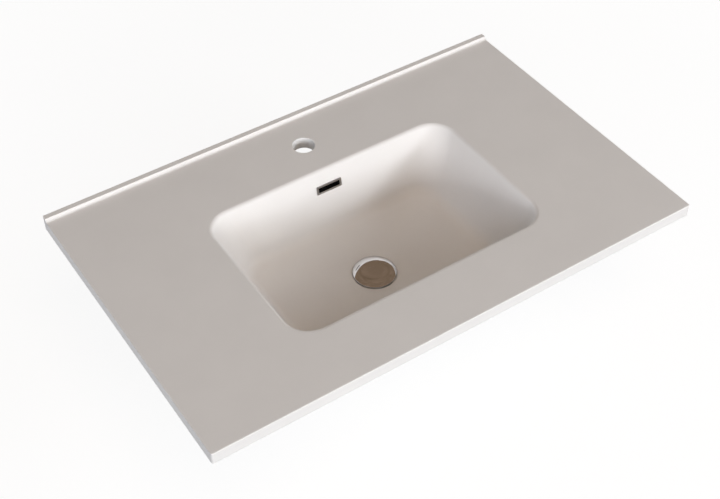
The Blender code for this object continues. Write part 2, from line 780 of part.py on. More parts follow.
def plug_stem(made_of):
    return at_waste(cylinder("plug_stem", STEM_R, STEM_Z, STEM_TOP_Z, ROUND_SMALL, made_of))


def plug_lock_nut(made_of):
    return hex_nut("plug_lock_nut", STEM_R + GAP, LOCK_NUT_WALL, LOCK_NUT_Z,
                   LOCK_NUT_Z + LOCK_NUT_T, ROUND_SMALL, made_of)


# Click mechanism

def cut_teeth(obj, face_z, inner_r, sense):
    """Cuts V-shaped gaps into a ring's face, up (sense 1) or down (-1), between its teeth."""
    half = TOOTH_H
    for index in range(TEETH):
        bar = box("%s_gap_%d" % (obj.name, index), inner_r, LUG_R, -half, half, -half, half)
        bar.rotation_euler.x = math.pi / 4
        at_waste(bar, math.tau * (index + 0.5) / TEETH)
        bar.location.z = face_z + sense * (half * math.sqrt(2) - TOOTH_H)
        cut(obj, bar)


def plunger_lug(index):
    return box("plunger_lug_%d" % index, PIN_R, LUG_R, -LUG_W / 2, LUG_W / 2,
               HEAD_TOP_Z - GAP - LUG_H, HEAD_TOP_Z - GAP)


def click_plunger(made_of):
    """Socket for the stem, a guided head with lugs, a crown of teeth and the cam's pin."""
    profile = [
        (0, STEM_Z - GAP), (STEM_R + GAP, STEM_Z - GAP), (STEM_R + GAP, PLUNGER_Z),
        (SHANK_R, PLUNGER_Z), (SHANK_R, HEAD_TOP_Z), (HEAD_R, HEAD_TOP_Z), (HEAD_R, HEAD_Z),
        (PIN_R, HEAD_Z), (PIN_R, PIN_Z), (0, PIN_Z),
    ]
    plunger = at_waste(turned("click_plunger", profile, ROUND_SMALL, made_of))
    join(plunger, *around_waste(LUGS, plunger_lug))
    cut_teeth(plunger, HEAD_Z, PIN_R + 2 * GAP, -1)
    return plunger


def click_cam(made_of):
    """Ring that turns on the plunger's pin, with teeth towards the plunger's crown."""
    cam = at_waste(ring("click_cam", PIN_R + GAP, HEAD_R - GAP, CAM_Z, CAM_TOP_Z, ROUND_SMALL,
                        made_of))
    cut_teeth(cam, CAM_TOP_Z, PIN_R / 2, 1)
    return cam


def guide_groove(index):
    return box("guide_groove_%d" % index, SHANK_R, LUG_R + GAP, -LUG_W / 2 - GAP, LUG_W / 2 + GAP,
               HEAD_Z, CARTRIDGE_TOP_Z + LUG_H)


def click_cartridge(made_of):
    """Housing with guide grooves, closed below by a floor and a spigot."""
    spigot_z = CARTRIDGE_Z - SPIGOT_L
    profile = [
        (0, CARTRIDGE_FLOOR_Z), (CARTRIDGE_BORE_R, CARTRIDGE_FLOOR_Z),
        (CARTRIDGE_BORE_R, CARTRIDGE_TOP_Z), (CARTRIDGE_R, CARTRIDGE_TOP_Z),
        (CARTRIDGE_R, CARTRIDGE_Z), (SPIGOT_R, CARTRIDGE_Z), (SPIGOT_R, spigot_z), (0, spigot_z),
    ]
    housing = at_waste(turned("click_cartridge", profile, ROUND_SMALL, made_of))
    cut(housing, *around_waste(LUGS, guide_groove))
    return housing


def click_collar(made_of):
    """Screwed cap that keeps the plunger's head in the housing."""
    skirt_z = CARTRIDGE_TOP_Z - COLLAR_SKIRT
    inner = CARTRIDGE_R + GAP
    profile = [
        (inner + COLLAR_WALL, COLLAR_TOP_Z), (inner + COLLAR_WALL, skirt_z), (inner, skirt_z),
        (inner, CARTRIDGE_TOP_Z + GAP), (SHANK_R + GAP, CARTRIDGE_TOP_Z + GAP),
        (SHANK_R + GAP, COLLAR_TOP_Z),
    ]
    return at_waste(turned("click_collar", profile, ROUND_SMALL, made_of, closed=True))


def click_spring(made_of):
    """Round wire wound between the cam and the housing's floor."""
    points_per_turn = 12
    radius = CARTRIDGE_BORE_R - SPRING_WIRE_R - GAP * 2
    rise = SPRING_CLOSED - 2 * SPRING_WIRE_R
    count = SPRING_TURNS * points_per_turn
    curve = bpy.data.curves.new("click_spring", 'CURVE')
    curve.dimensions = '3D'
    curve.bevel_depth = SPRING_WIRE_R
    curve.bevel_resolution = 2
    curve.use_fill_caps = True
    spline = curve.splines.new('POLY')
    spline.points.add(count)
    for index, point in enumerate(spline.points):
        angle = math.tau * index / points_per_turn
        point.co = (radius * math.cos(angle), radius * math.sin(angle),
                    SPRING_Z + SPRING_WIRE_R + rise * index / count, 1)
    return at_waste(mesh_of_curve(curve, "click_spring", made_of))


def main():
    cast = material("cast_marble", (0.80, 0.78, 0.76), 0.45)
    chrome = material("chrome", (0.75, 0.75, 0.76), 0.08, 1.0)
    brass = material("plain_brass", (0.72, 0.58, 0.32), 0.30, 1.0)
    steel = material("spring_steel", (0.55, 0.55, 0.56), 0.30, 1.0)
    rubber = material("black_rubber", (0.03, 0.03, 0.03), 0.80)
    plastic = material("grey_plastic", (0.62, 0.63, 0.64), 0.50)
    acetal = material("white_acetal", (0.85, 0.85, 0.83), 0.40)
    pieces = [
        basin_top(cast),
        overflow_duct(plastic),
        overflow_trim(chrome),
        waste_body(chrome),
        waste_flange_seal(rubber),
        waste_cone_seal(rubber),
        waste_slip_washer(plastic),
        waste_back_nut(brass),
        plug_cap(chrome),
        plug_seal(rubber),
        plug_stem(brass),
        plug_lock_nut(brass),
        click_plunger(acetal),
        click_cam(acetal),
        click_cartridge(brass),
        click_collar(brass),
        click_spring(steel),
    ]
    for piece in pieces:
        settle(piece)


main()
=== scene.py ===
"""Looks of the vanity-top washbasin: finer skins over its pieces, surfaces, light and camera.

Metres, as in the part's source: the slab's underside is at z = 0 and the wall at y = 0.025.
"""

import json
import math

import bmesh
import bpy
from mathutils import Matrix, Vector

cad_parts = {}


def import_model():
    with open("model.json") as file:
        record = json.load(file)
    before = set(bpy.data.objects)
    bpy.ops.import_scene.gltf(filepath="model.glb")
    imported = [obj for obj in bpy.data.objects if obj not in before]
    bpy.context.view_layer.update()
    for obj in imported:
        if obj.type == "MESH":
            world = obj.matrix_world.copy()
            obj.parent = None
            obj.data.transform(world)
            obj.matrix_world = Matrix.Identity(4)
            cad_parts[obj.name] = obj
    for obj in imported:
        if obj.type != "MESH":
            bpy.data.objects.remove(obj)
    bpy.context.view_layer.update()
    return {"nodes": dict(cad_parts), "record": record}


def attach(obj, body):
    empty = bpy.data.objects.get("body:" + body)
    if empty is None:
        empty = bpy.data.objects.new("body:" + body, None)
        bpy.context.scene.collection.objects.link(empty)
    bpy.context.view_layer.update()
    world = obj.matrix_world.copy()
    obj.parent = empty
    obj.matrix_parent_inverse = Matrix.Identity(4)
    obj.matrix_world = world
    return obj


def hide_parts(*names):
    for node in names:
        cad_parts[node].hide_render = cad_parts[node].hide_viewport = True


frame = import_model()

# Sizes of the casting, as in the part's source
GAP = 0.0003              # between pieces that touch
SLAB_W = 0.800
SLAB_D = 0.500
SLAB_T = 0.020
SLAB_ARRIS = 0.0018       # rounding of the front edge
SLAB_CORNER = 0.0030      # rounding of the upright corners
SLAB_SOLE = 0.0006        # rounding of the bottom edges
LIP_T = 0.009
LIP_H = 0.0055            # above the slab
LIP_ARRIS = 0.0008        # rounding of the lip and of the slab's ends
COVE_R = 0.0045           # hollow between lip and slab
BEARING_STRIP = 0.050     # depth of the strip along the wall that rests on the cabinet
TAP_HOLE_R = 0.0175
TAP_BACKSET = 0.072       # wall to the tap hole's centre
TAP_EDGE_R = 0.0005       # rounding of the hole's upper edge
BOWL_W = 0.434            # over the rim's rounding
BOWL_D = 0.276
BOWL_BACKSET = 0.130      # wall to the rim
BOWL_DEPTH = 0.112        # slab top to the floor round the waste
FLOOR_FALL = 0.009        # from the walls' foot to the waste
RIM_R = 0.007
RIM_CORNER_R = 0.045
SIDE_SLOPE = math.radians(68)
END_SLOPE = math.radians(77)     # back and front walls
FOLD_R = 0.022            # hollow between walls and floor
BOWL_WALL = 0.012
FLOOR_T = 0.014           # casting under the floor, at the waste
RECESS_DEPTH = 0.0045     # seat for the waste's flange
LAND_W = 0.003            # level ring of floor round that seat
BOSS_WALL = 0.0045        # of the waste boss, outside the seat
BOSS_FOOT = 0.0075        # of the boss, under its overflow port
PORT_W = 0.0364
PORT_H = 0.0122
OVERFLOW_BELOW_SLAB = 0.011      # slab's underside to the slot's centre

# Sizes of the metal pieces, as in the part's source
SLOT_W = 0.037            # clear opening
SLOT_H = 0.0075
FRAME_RIM_W = 0.0038      # of the frame, beside the opening
FRAME_RIM_H = 0.0034      # of the frame, over and under the opening
FRAME_T = 0.0016
FRAME_CORNER_R = 0.0020
SLEEVE_T = 0.0008
FLANGE_BACK = 0.0015      # flange's edge inside the cap's
FLANGE_T = 0.0021
SEAL_T = 0.0015
DISH_W = 0.0085           # of the flange's shallow dish
DISH_DEPTH = 0.0008
CONE_DROP = 0.0060
TAIL_R = 0.02075
TAIL_WALL = 0.00375
TAIL_BELOW_WEB = 0.0286
HOLE_CLEAR = 0.00225      # hole in the casting outside the tail
WASTE_SLOTS = 4           # side slots that let the overflow in
WASTE_SLOT_W = 0.008
WASTE_SLOT_H = 0.014
SPIGOT_R = 0.0047
WEB_H = 0.0090
WEB_HUB_WALL = 0.0035
SPOKES = 3
SPOKE_W = 0.0030
SPOKE_H = 0.0070
CLICK_H = 0.0422          # of the click mechanism, from the plug's hub to the web
CAP_R = 0.0335
CAP_CLEAR = 0.0010        # seat's edge outside the cap
CAP_LIFT = 0.0004         # closed cap above the floor
CAP_EDGE = 0.0030
CAP_RISE = 0.0026
CAP_SKIN = 0.0016
HUB_CLEAR = 0.0030        # hub's side to the waste's bore
HUB_LIP = 0.0020
HUB_LIP_T = 0.0015
PLUG_SEAL_SEAT = 0.0035   # width of seal that rests on the dish
STEM_R = 0.0039
STEM_BITE = 0.0050        # of the stem in the cap

# Sizes of the scene's own: small roundings, the cap's crown and the pipe thread
FRAME_OUTER_ARRIS = 0.0006
FRAME_INNER_ARRIS = 0.0005
FLANGE_ARRIS = 0.0006
TAIL_ARRIS = 0.0003
CAP_ARRIS = 0.0002
CAP_ROUND = 0.0009
CAP_CROWN = 0.0040        # fall of the crown from its middle to its edge
CAP_POWER = 5             # of the radius, with which it falls
PITCH = 0.002309          # of a G 1 1/4 pipe thread
THREAD_DEPTH = 0.0012

# Places, all worked out from these sizes
WALL_Y = BEARING_STRIP / 2
FRONT_Y = WALL_Y - SLAB_D
TAP_Y = WALL_Y - TAP_BACKSET
RIM_BACK_Y = WALL_Y - BOWL_BACKSET
RIM_FRONT_Y = RIM_BACK_Y - BOWL_D
WASTE_Y = (RIM_BACK_Y + RIM_FRONT_Y) / 2

RECESS_R = CAP_R + CAP_CLEAR
BOSS_R = RECESS_R + BOSS_WALL
FLANGE_R = CAP_R - FLANGE_BACK
WASTE_HOLE_R = TAIL_R + HOLE_CLEAR
TAIL_BORE_R = TAIL_R - TAIL_WALL
HUB_R = TAIL_BORE_R - HUB_CLEAR
WEB_HUB_R = SPIGOT_R + GAP + WEB_HUB_WALL

FLOOR_Z = SLAB_T - BOWL_DEPTH
SEAT_Z = FLOOR_Z - RECESS_DEPTH
UNDER_DEPTH = BOWL_DEPTH + FLOOR_T
UNDER_Z = SLAB_T - UNDER_DEPTH
PORT_TOP_Z = UNDER_Z - GAP * 2
PORT_Z = PORT_TOP_Z - PORT_H
BOSS_Z = PORT_Z - BOSS_FOOT
OVERFLOW_DEPTH = SLAB_T + OVERFLOW_BELOW_SLAB
FLANGE_UNDER_Z = SEAT_Z + GAP + SEAL_T + GAP
FLANGE_Z = FLANGE_UNDER_Z + FLANGE_T
DISH_Z = FLANGE_Z - DISH_DEPTH
CAP_Z = FLOOR_Z + CAP_LIFT
HUB_Z = DISH_Z + DISH_DEPTH * PLUG_SEAL_SEAT / DISH_W - HUB_LIP_T
STEM_TOP_Z = HUB_Z + STEM_BITE
WEB_Z = HUB_Z - CLICK_H
TAIL_Z = WEB_Z - WEB_H - TAIL_BELOW_WEB
THREAD_TOP_Z = BOSS_Z - THREAD_DEPTH

# Values for the meshes and the studio
WELD = 0.00002            # points nearer than this are one in a finished mesh
LAMP_REACH = 9.0          # from the waste's axis to each lamp
FLOOR_REACH = 30.0
FLOOR_GAP = 0.0005        # from the tail down to the floor
FLOOR_GLOW = 0.87         # of the floor near the basin, where 1 is white
GLOW_RISES = 1.0          # how far out the floor starts to turn white
GLOW_ENDS = 5.0           # how far out it is white


# Meshes

def new_object(name, mesh):
    obj = bpy.data.objects.new(name, mesh)
    bpy.context.scene.collection.objects.link(obj)
    return obj


def mesh_of(bm, name):
    bmesh.ops.recalc_face_normals(bm, faces=bm.faces)
    mesh = bpy.data.meshes.new(name)
    bm.to_mesh(mesh)
    bm.free()
    return mesh


def skin(name, rings, closed=False):
    """A skin over outlines of equal point counts: capped at both ends, or closed on itself."""
    bm = bmesh.new()
    rows = [[bm.verts.new(point) for point in points] for points in rings]
    count = len(rows[0])
    pairs = list(zip(rows, rows[1:]))
    if closed:
        pairs.append((rows[-1], rows[0]))
    for above, below in pairs:
        for i in range(count):
            j = (i + 1) % count
            bm.faces.new((above[i], above[j], below[j], below[i]))
    if not closed:
        bm.faces.new(rows[0])
        bm.faces.new(rows[-1])
    bmesh.ops.remove_doubles(bm, verts=bm.verts, dist=WELD / 2)
    return new_object(name, mesh_of(bm, name))


def circle(radius, z, steps):
    """Points of one ring round the waste's axis; the radius may vary with the angle."""
    points = []
    for index in range(steps):
        angle = math.tau * index / steps
        r = radius(angle) if callable(radius) else radius
        points.append((r * math.cos(angle), WASTE_Y + r * math.sin(angle), z))
    return points


def turned(name, profile, steps, closed=False):
    """A profile of (radius, height) points turned about the waste's axis."""
    rings = [circle(radius, z, steps) for radius, z in profile]
    return skin(name, rings, closed)


def block(name, x0, x1, y0, y1, z0, z1, angle=None):
    """A square bar among the cutters; with an angle it is set out from the waste's axis."""
    corners = [(x0, y0), (x1, y0), (x1, y1), (x0, y1)]
    if angle is not None:
        c, s = math.cos(angle), math.sin(angle)
        corners = [(x * c - y * s, WASTE_Y + x * s + y * c) for x, y in corners]
    rings = [[(x, y, z) for x, y in corners] for z in (z1, z0)]
    return skin(name, rings)


def combine(obj, operation, *others):
    """Joins or cuts with several shapes at once and takes them out of the scene."""
    group = bpy.data.collections.new(operation)
    bpy.context.scene.collection.children.link(group)
    for other in others:
        group.objects.link(other)
    boolean = obj.modifiers.new(operation, 'BOOLEAN')
    boolean.operation = operation
    boolean.solver = 'EXACT'
    boolean.operand_type = 'COLLECTION'
    boolean.collection = group
    depsgraph = bpy.context.evaluated_depsgraph_get()
    obj.data = bpy.data.meshes.new_from_object(obj.evaluated_get(depsgraph))
    obj.modifiers.clear()
    for other in others:
        bpy.data.objects.remove(other)
    bpy.data.collections.remove(group)


def settle(obj, sharp):
    """Welds a finished mesh, marks its sharp edges and evens out its shading."""
    mesh = obj.data
    bm = bmesh.new()
    bm.from_mesh(mesh)
    bmesh.ops.remove_doubles(bm, verts=bm.verts, dist=WELD)
    bmesh.ops.dissolve_degenerate(bm, edges=bm.edges, dist=WELD)
    bm.to_mesh(mesh)
    bm.free()
    mesh.shade_smooth()
    mesh.set_sharp_from_angle(angle=math.radians(sharp))
    weigh = obj.modifiers.new("even_shading", 'WEIGHTED_NORMAL')
    weigh.mode = 'FACE_AREA'
    weigh.keep_sharp = True
    return obj


def quarter(steps):
    """Angles that divide a quarter turn, from 0."""
    return [math.pi / 2 * step / steps for step in range(steps + 1)]


def round_rectangle(x0, x1, y0, y1, radius, corner_steps, side_points=0):
    """Points round a rectangle with rounded corners, with some more along each side."""
    corners = (
        (x1 - radius, y1 - radius, 0.0),
        (x0 + radius, y1 - radius, math.pi / 2),
        (x0 + radius, y0 + radius, math.pi),
        (x1 - radius, y0 + radius, math.pi * 1.5),
    )
    arcs = []
    for cx, cy, start in corners:
        angles = [start + angle for angle in quarter(corner_steps)]
        arcs.append([(cx + radius * math.cos(a), cy + radius * math.sin(a)) for a in angles])
    points = []
    for arc, following in zip(arcs, arcs[1:] + arcs[:1]):
        points += arc
        (xa, ya), (xb, yb) = arc[-1], following[0]
        for k in range(1, side_points + 1):
            share = k / (side_points + 1)
            points.append((xa + (xb - xa) * share, ya + (yb - ya) * share))
    return points


# Casting

def slab():
    """Slab and lip in one section, drawn out along X, with its edges rounded."""
    lip_y = WALL_Y - LIP_T
    outline = [(WALL_Y, 0.0), (FRONT_Y, 0.0), (FRONT_Y, SLAB_T)]
    for angle in quarter(10):
        outline.append((lip_y - COVE_R + COVE_R * math.sin(angle),
                        SLAB_T + COVE_R * (1 - math.cos(angle))))
    outline += [(lip_y, SLAB_T + LIP_H), (WALL_Y, SLAB_T + LIP_H)]
    rings = [[(x, y, z) for y, z in outline] for x in (-SLAB_W / 2, SLAB_W / 2)]
    obj = skin("basin_casting", rings)
    bm = bmesh.new()
    bm.from_mesh(obj.data)
    weight = bm.edges.layers.float.new("bevel_weight_edge")
    for edge in bm.edges:
        edge[weight] = edge_rounding(edge) / SLAB_CORNER
    bm.to_mesh(obj.data)
    bm.free()
    bevel = obj.modifiers.new("edges", 'BEVEL')
    bevel.limit_method = 'WEIGHT'
    bevel.width = SLAB_CORNER
    bevel.segments = 5
    return obj


def edge_rounding(edge):
    """How far an edge of the slab and lip is rounded."""
    a, b = (vert.co for vert in edge.verts)
    x, y, z = (a + b) / 2
    at_end = abs(abs(x) - SLAB_W / 2) < WELD
    if abs(a.z - b.z) > SLAB_T / 2:
        return SLAB_CORNER if at_end else 0.0
    if z < WELD:
        return SLAB_SOLE
    if y < FRONT_Y + WELD:
        return SLAB_ARRIS
    if at_end or z > SLAB_T + LIP_H - WELD:
        return LIP_ARRIS
    return 0.0


def wall_inset(depth, slope, floor_depth, fold_r, grow):
    """How far a wall stands in from the rim at a depth; grow moves it out to the shell."""
    rim_end = RIM_R * (1 - math.cos(slope))
    fold_start = floor_depth - fold_r * (1 - math.cos(slope))
    if grow == 0 and depth < rim_end:
        return RIM_R * math.sin(math.acos(1 - depth / RIM_R))
    straight = min(depth, fold_start)
    inset = RIM_R * math.tan(slope / 2) + straight / math.tan(slope) - grow / math.sin(slope)
    if depth > fold_start:
        turn = math.acos(1 - (floor_depth - depth) / fold_r)
        inset += fold_r * (math.sin(slope) - math.sin(turn))
    return inset


def corner_radius(depth, floor_depth, fold_r, grow):
    """The radius of the bowl's corners in plan at a depth; grow as for a wall."""
    rim_end = RIM_R * (1 - math.cos(END_SLOPE))
    fold_start = floor_depth - fold_r * (1 - math.cos(END_SLOPE))
    if grow == 0 and depth < rim_end:
        return RIM_CORNER_R - wall_inset(depth, END_SLOPE, floor_depth, fold_r, grow)
    radius = RIM_CORNER_R + grow - RIM_R * math.sin(END_SLOPE)
    if depth > fold_start:
        turn = math.acos(1 - (floor_depth - depth) / fold_r)
        radius -= fold_r * (math.sin(END_SLOPE) - math.sin(turn))
    return radius


def bowl_outline(depth, floor_depth, fold_r, grow):
    """The bowl's walls in plan at a depth under the slab's top; grow as for a wall."""
    side = BOWL_W / 2 - wall_inset(depth, SIDE_SLOPE, floor_depth, fold_r, grow)
    end = wall_inset(depth, END_SLOPE, floor_depth, fold_r, grow)
    radius = corner_radius(depth, floor_depth, fold_r, grow)
    outline = round_rectangle(-side, side, RIM_FRONT_Y + end, RIM_BACK_Y - end, radius, 20, 12)
    return [(x, y, SLAB_T - depth) for x, y in outline]


def fold_depths(floor_depth, fold_r, steps):
    """Depths of the rows down the fold, from the foot of the walls to the floor."""
    turns = [END_SLOPE * (1 - step / steps) for step in range(steps + 1)]
    return [floor_depth - fold_r * (1 - math.cos(turn)) for turn in turns]


def bowl_hollow():
    """Rim, walls, fold and a floor that falls to the level land round the waste."""
    floor_depth = BOWL_DEPTH - FLOOR_FALL
    rim_steps = 10
    turns = [END_SLOPE * step / rim_steps for step in range(rim_steps + 1)]
    depths = [RIM_R * (1 - math.cos(turn)) for turn in turns]
    folds = fold_depths(floor_depth, FOLD_R, 16)
    depths += [depths[-1] + (folds[0] - depths[-1]) * k / 5 for k in range(1, 5)] + folds
    rings = [bowl_outline(depth, floor_depth, FOLD_R, 0.0) for depth in depths]
    mouth = [(x, y, SLAB_T + RIM_R) for x, y, z in rings[0]]
    falls = []
    for share in (0.25, 0.5, 0.75, 1.0):
        row = []
        for x, y, z in rings[-1]:
            scale = (RECESS_R + LAND_W) / math.hypot(x, y - WASTE_Y)
            inner = (x * scale, WASTE_Y + (y - WASTE_Y) * scale)
            row.append((x + (inner[0] - x) * share, y + (inner[1] - y) * share,
                        z - FLOOR_FALL * share))
        falls.append(row)
    return skin("bowl_hollow", [mouth] + rings + falls)


def bowl_shell():
    """The outside of the bowl under the slab, a wall's thickness out from the hollow."""
    fold_r = FOLD_R + BOWL_WALL
    depths = [SLAB_T / 2] + fold_depths(UNDER_DEPTH, fold_r, 14)
    rings = [bowl_outline(depth, UNDER_DEPTH, fold_r, BOWL_WALL) for depth in depths]
    return skin("bowl_shell", rings)


def on_back_wall(x, y, z):
    """A point given along, up and out of the back wall at the overflow."""
    inset = wall_inset(OVERFLOW_DEPTH, END_SLOPE, BOWL_DEPTH - FLOOR_FALL, FOLD_R, 0.0)
    c, s = math.cos(END_SLOPE), math.sin(END_SLOPE)
    return (x, RIM_BACK_Y - inset + y * c - z * s, SLAB_T - OVERFLOW_DEPTH + y * s + z * c)


def off_back_wall(point):
    """How far a point stands out of the back wall at the overflow."""
    y0, z0 = on_back_wall(0, 0, 0)[1:]
    return (point.z - z0) * math.cos(END_SLOPE) - (point.y - y0) * math.sin(END_SLOPE)


def wall_ring(half_w, half_h, radius, z):
    """A rounded rectangle round the overflow, at a height off the back wall."""
    outline = round_rectangle(-half_w, half_w, -half_h, half_h, radius, 6)
    return [on_back_wall(x, y, z) for x, y in outline]


def basin_casting():
    """Slab, bowl and waste boss in one, with the holes for waste, tap and overflow."""
    obj = slab()
    shell = bowl_shell()
    boss_top = (FLOOR_Z + UNDER_Z) / 2
    boss = turned("waste_boss", [(BOSS_R, boss_top), (BOSS_R, BOSS_Z)], 96)
    over = FLOOR_Z + RECESS_DEPTH
    under = BOSS_Z - RECESS_DEPTH
    waste_hole = turned("waste_hole", [
        (RECESS_R, over), (RECESS_R, SEAT_Z), (WASTE_HOLE_R, SEAT_Z), (WASTE_HOLE_R, under)], 96)
    edge = [(TAP_HOLE_R + TAP_EDGE_R, SLAB_T + TAP_EDGE_R)]
    for angle in quarter(6):
        edge.append((TAP_HOLE_R + TAP_EDGE_R * (1 - math.sin(angle)),
                     SLAB_T - TAP_EDGE_R * (1 - math.cos(angle))))
    edge.append((TAP_HOLE_R, -TAP_EDGE_R))
    tap_hole = turned("tap_hole", edge, 96)
    tap_hole.location.y = TAP_Y - WASTE_Y
    margin = SLEEVE_T + GAP
    overflow_hole = skin("overflow_hole", [
        wall_ring(SLOT_W / 2 + margin, SLOT_H / 2 + margin, FRAME_CORNER_R, z)
        for z in (BOWL_WALL / 2, -BOWL_WALL * 1.5)])
    port = block("port", -PORT_W / 2, PORT_W / 2, WASTE_Y + WASTE_HOLE_R / 2,
                 WASTE_Y + BOSS_R * 1.2, PORT_Z, PORT_TOP_Z)
    combine(obj, 'UNION', shell, boss)
    combine(obj, 'DIFFERENCE', bowl_hollow(), waste_hole, tap_hole, overflow_hole, port)
    return settle(obj, 32)


# Overflow frame

def overflow_frame():
    """Rounded rim and sleeve in one skin of rings round the slot."""
    top = GAP + FRAME_T
    back = FRAME_T - BOWL_WALL
    rows = [(FRAME_RIM_W, FRAME_RIM_H, FRAME_CORNER_R, GAP)]
    for angle in quarter(5):
        cut = FRAME_OUTER_ARRIS * (1 - math.cos(angle))
        rows.append((FRAME_RIM_W - cut, FRAME_RIM_H - cut, FRAME_CORNER_R - cut,
                     top - FRAME_OUTER_ARRIS * (1 - math.sin(angle))))
    for angle in quarter(5):
        cut = FRAME_INNER_ARRIS * (1 - math.sin(angle))
        rows.append((cut, cut, FRAME_CORNER_R / 2 + cut,
                     top - FRAME_INNER_ARRIS * (1 - math.cos(angle))))
    rows += [(0, 0, FRAME_CORNER_R / 2, back), (SLEEVE_T, SLEEVE_T, FRAME_CORNER_R - GAP, back),
             (SLEEVE_T, SLEEVE_T, FRAME_CORNER_R - GAP, GAP)]
    rings = [wall_ring(SLOT_W / 2 + w, SLOT_H / 2 + h, radius, z) for w, h, radius, z in rows]
    return settle(skin("overflow_frame", rings, closed=True), 40)


# Waste

def thread_row(crest, depth, z, fade):
    """A ring cut by a right-hand thread; fade runs from 0, plain, to 1, full depth."""
    def radius(angle):
        phase = (z / PITCH - angle / math.tau) % 1.0
        groove = 0.5 - 0.5 * math.cos(math.tau * phase)
        return crest - depth * fade * groove
    return radius


def threaded_rows(crest, depth, top, bottom, rows_per_pitch=7):
    """Rows of a threaded length, running out at the top and bevelled at the bottom."""
    count = round((top - bottom) / PITCH * rows_per_pitch)
    bevel_depth = depth * 0.9
    bevel_height = depth * 1.2
    rows = []
    for index in range(count + 1):
        z = top + (bottom - top) * index / count
        fade = min(1.0, (top - z) / PITCH)
        start = max(0.0, 1 - (z - bottom) / bevel_height)
        rows.append((thread_row(crest - bevel_depth * start, depth * (1 - start), z, fade), z))
    return rows


def waste_and_tail():
    """Flange with its dished seat, threaded tail with side slots, and the cross inside."""
    profile = []
    for angle in quarter(4):
        profile.append((FLANGE_R - FLANGE_ARRIS * (1 - math.sin(angle)),
                        FLANGE_Z - FLANGE_ARRIS * (1 - math.cos(angle))))
    profile += [(FLANGE_R, FLANGE_UNDER_Z), (TAIL_R, FLANGE_UNDER_Z)]
    profile += threaded_rows(TAIL_R, THREAD_DEPTH, THREAD_TOP_Z, TAIL_Z)
    dish_r = TAIL_R - GAP
    profile += [(TAIL_BORE_R + TAIL_ARRIS, TAIL_Z), (TAIL_BORE_R, TAIL_Z + TAIL_ARRIS),
                (TAIL_BORE_R, DISH_Z - CONE_DROP), (dish_r, DISH_Z), (dish_r + DISH_W, FLANGE_Z)]
    body = turned("waste_and_tail", profile, 80, closed=True)
    hub = turned("web_hub", [(WEB_HUB_R, WEB_Z), (WEB_HUB_R, WEB_Z - WEB_H),
                             (SPIGOT_R + GAP, WEB_Z - WEB_H), (SPIGOT_R + GAP, WEB_Z)], 64,
                 closed=True)
    spokes = [block("web_spoke_%d" % index, (SPIGOT_R + WEB_HUB_R) / 2,
                    (TAIL_BORE_R + TAIL_R) / 2, -SPOKE_W / 2, SPOKE_W / 2,
                    WEB_Z - WEB_H, WEB_Z - WEB_H + SPOKE_H,
                    math.pi / 2 + math.tau * index / SPOKES)
              for index in range(SPOKES)]
    slots = [block("waste_slot_%d" % index, TAIL_BORE_R - TAIL_WALL, TAIL_R + TAIL_WALL,
                   -WASTE_SLOT_W / 2, WASTE_SLOT_W / 2,
                   PORT_TOP_Z - WASTE_SLOT_H, PORT_TOP_Z, math.tau * index / WASTE_SLOTS)
             for index in range(WASTE_SLOTS)]
    combine(body, 'UNION', hub, *spokes)
    combine(body, 'DIFFERENCE', *slots)
    return settle(body, 38)


def domed_cap():
    """Crown that falls with a power of the radius to a rolled edge, and under it the hub."""
    top = CAP_Z + CAP_EDGE + CAP_RISE
    ceiling = CAP_Z + CAP_EDGE - CAP_SKIN
    slope = math.atan(CAP_POWER * CAP_CROWN / CAP_R)
    crown_r = CAP_R - CAP_ROUND * (1 - math.sin(slope))
    profile = []
    for step in range(1, 31):
        share = step / 30
        profile.append((crown_r * share, top - CAP_CROWN * share ** CAP_POWER))
    for step in range(1, 8):
        angle = slope + (math.pi / 2 - slope) * step / 7
        profile.append((CAP_R - CAP_ROUND * (1 - math.sin(angle)),
                        top - CAP_CROWN - CAP_ROUND * (math.cos(slope) - math.cos(angle))))
    profile += [
        (CAP_R, CAP_Z + CAP_ARRIS), (CAP_R - CAP_ARRIS, CAP_Z), (CAP_R - CAP_SKIN, CAP_Z),
        (CAP_R - CAP_SKIN, ceiling), (HUB_R, ceiling), (HUB_R, HUB_Z + HUB_LIP_T),
        (HUB_R + HUB_LIP, HUB_Z + HUB_LIP_T), (HUB_R + HUB_LIP, HUB_Z), (STEM_R + GAP, HUB_Z),
        (STEM_R + GAP, STEM_TOP_Z + GAP),
    ]
    return settle(turned("domed_cap", profile, 128), 35)


# Surfaces

def maths(tree, operation, a, b):
    """The result of an operation on two sockets."""
    node = tree.nodes.new("ShaderNodeMath")
    node.operation = operation
    tree.links.new(a, node.inputs[0])
    tree.links.new(b, node.inputs[1])
    return node.outputs[0]


def spanned(tree, value, low, high, start, end, curve='LINEAR'):
    """Maps a value from start..end onto low..high."""
    node = tree.nodes.new("ShaderNodeMapRange")
    node.interpolation_type = curve
    node.inputs["From Min"].default_value = start
    node.inputs["From Max"].default_value = end
    node.inputs["To Min"].default_value = low
    node.inputs["To Max"].default_value = high
    tree.links.new(value, node.inputs["Value"])
    return node.outputs["Result"]


def mixed(tree, factor, a, b):
    """Two colours mixed by a factor; each is a tuple or a socket."""
    node = tree.nodes.new("ShaderNodeMix")
    node.data_type = 'RGBA'
    tree.links.new(factor, node.inputs["Factor"])
    for socket, value in ((node.inputs[6], a), (node.inputs[7], b)):
        if isinstance(value, tuple):
            socket.default_value = (*value, 1)
        else:
            tree.links.new(value, socket)
    return node.outputs[2]


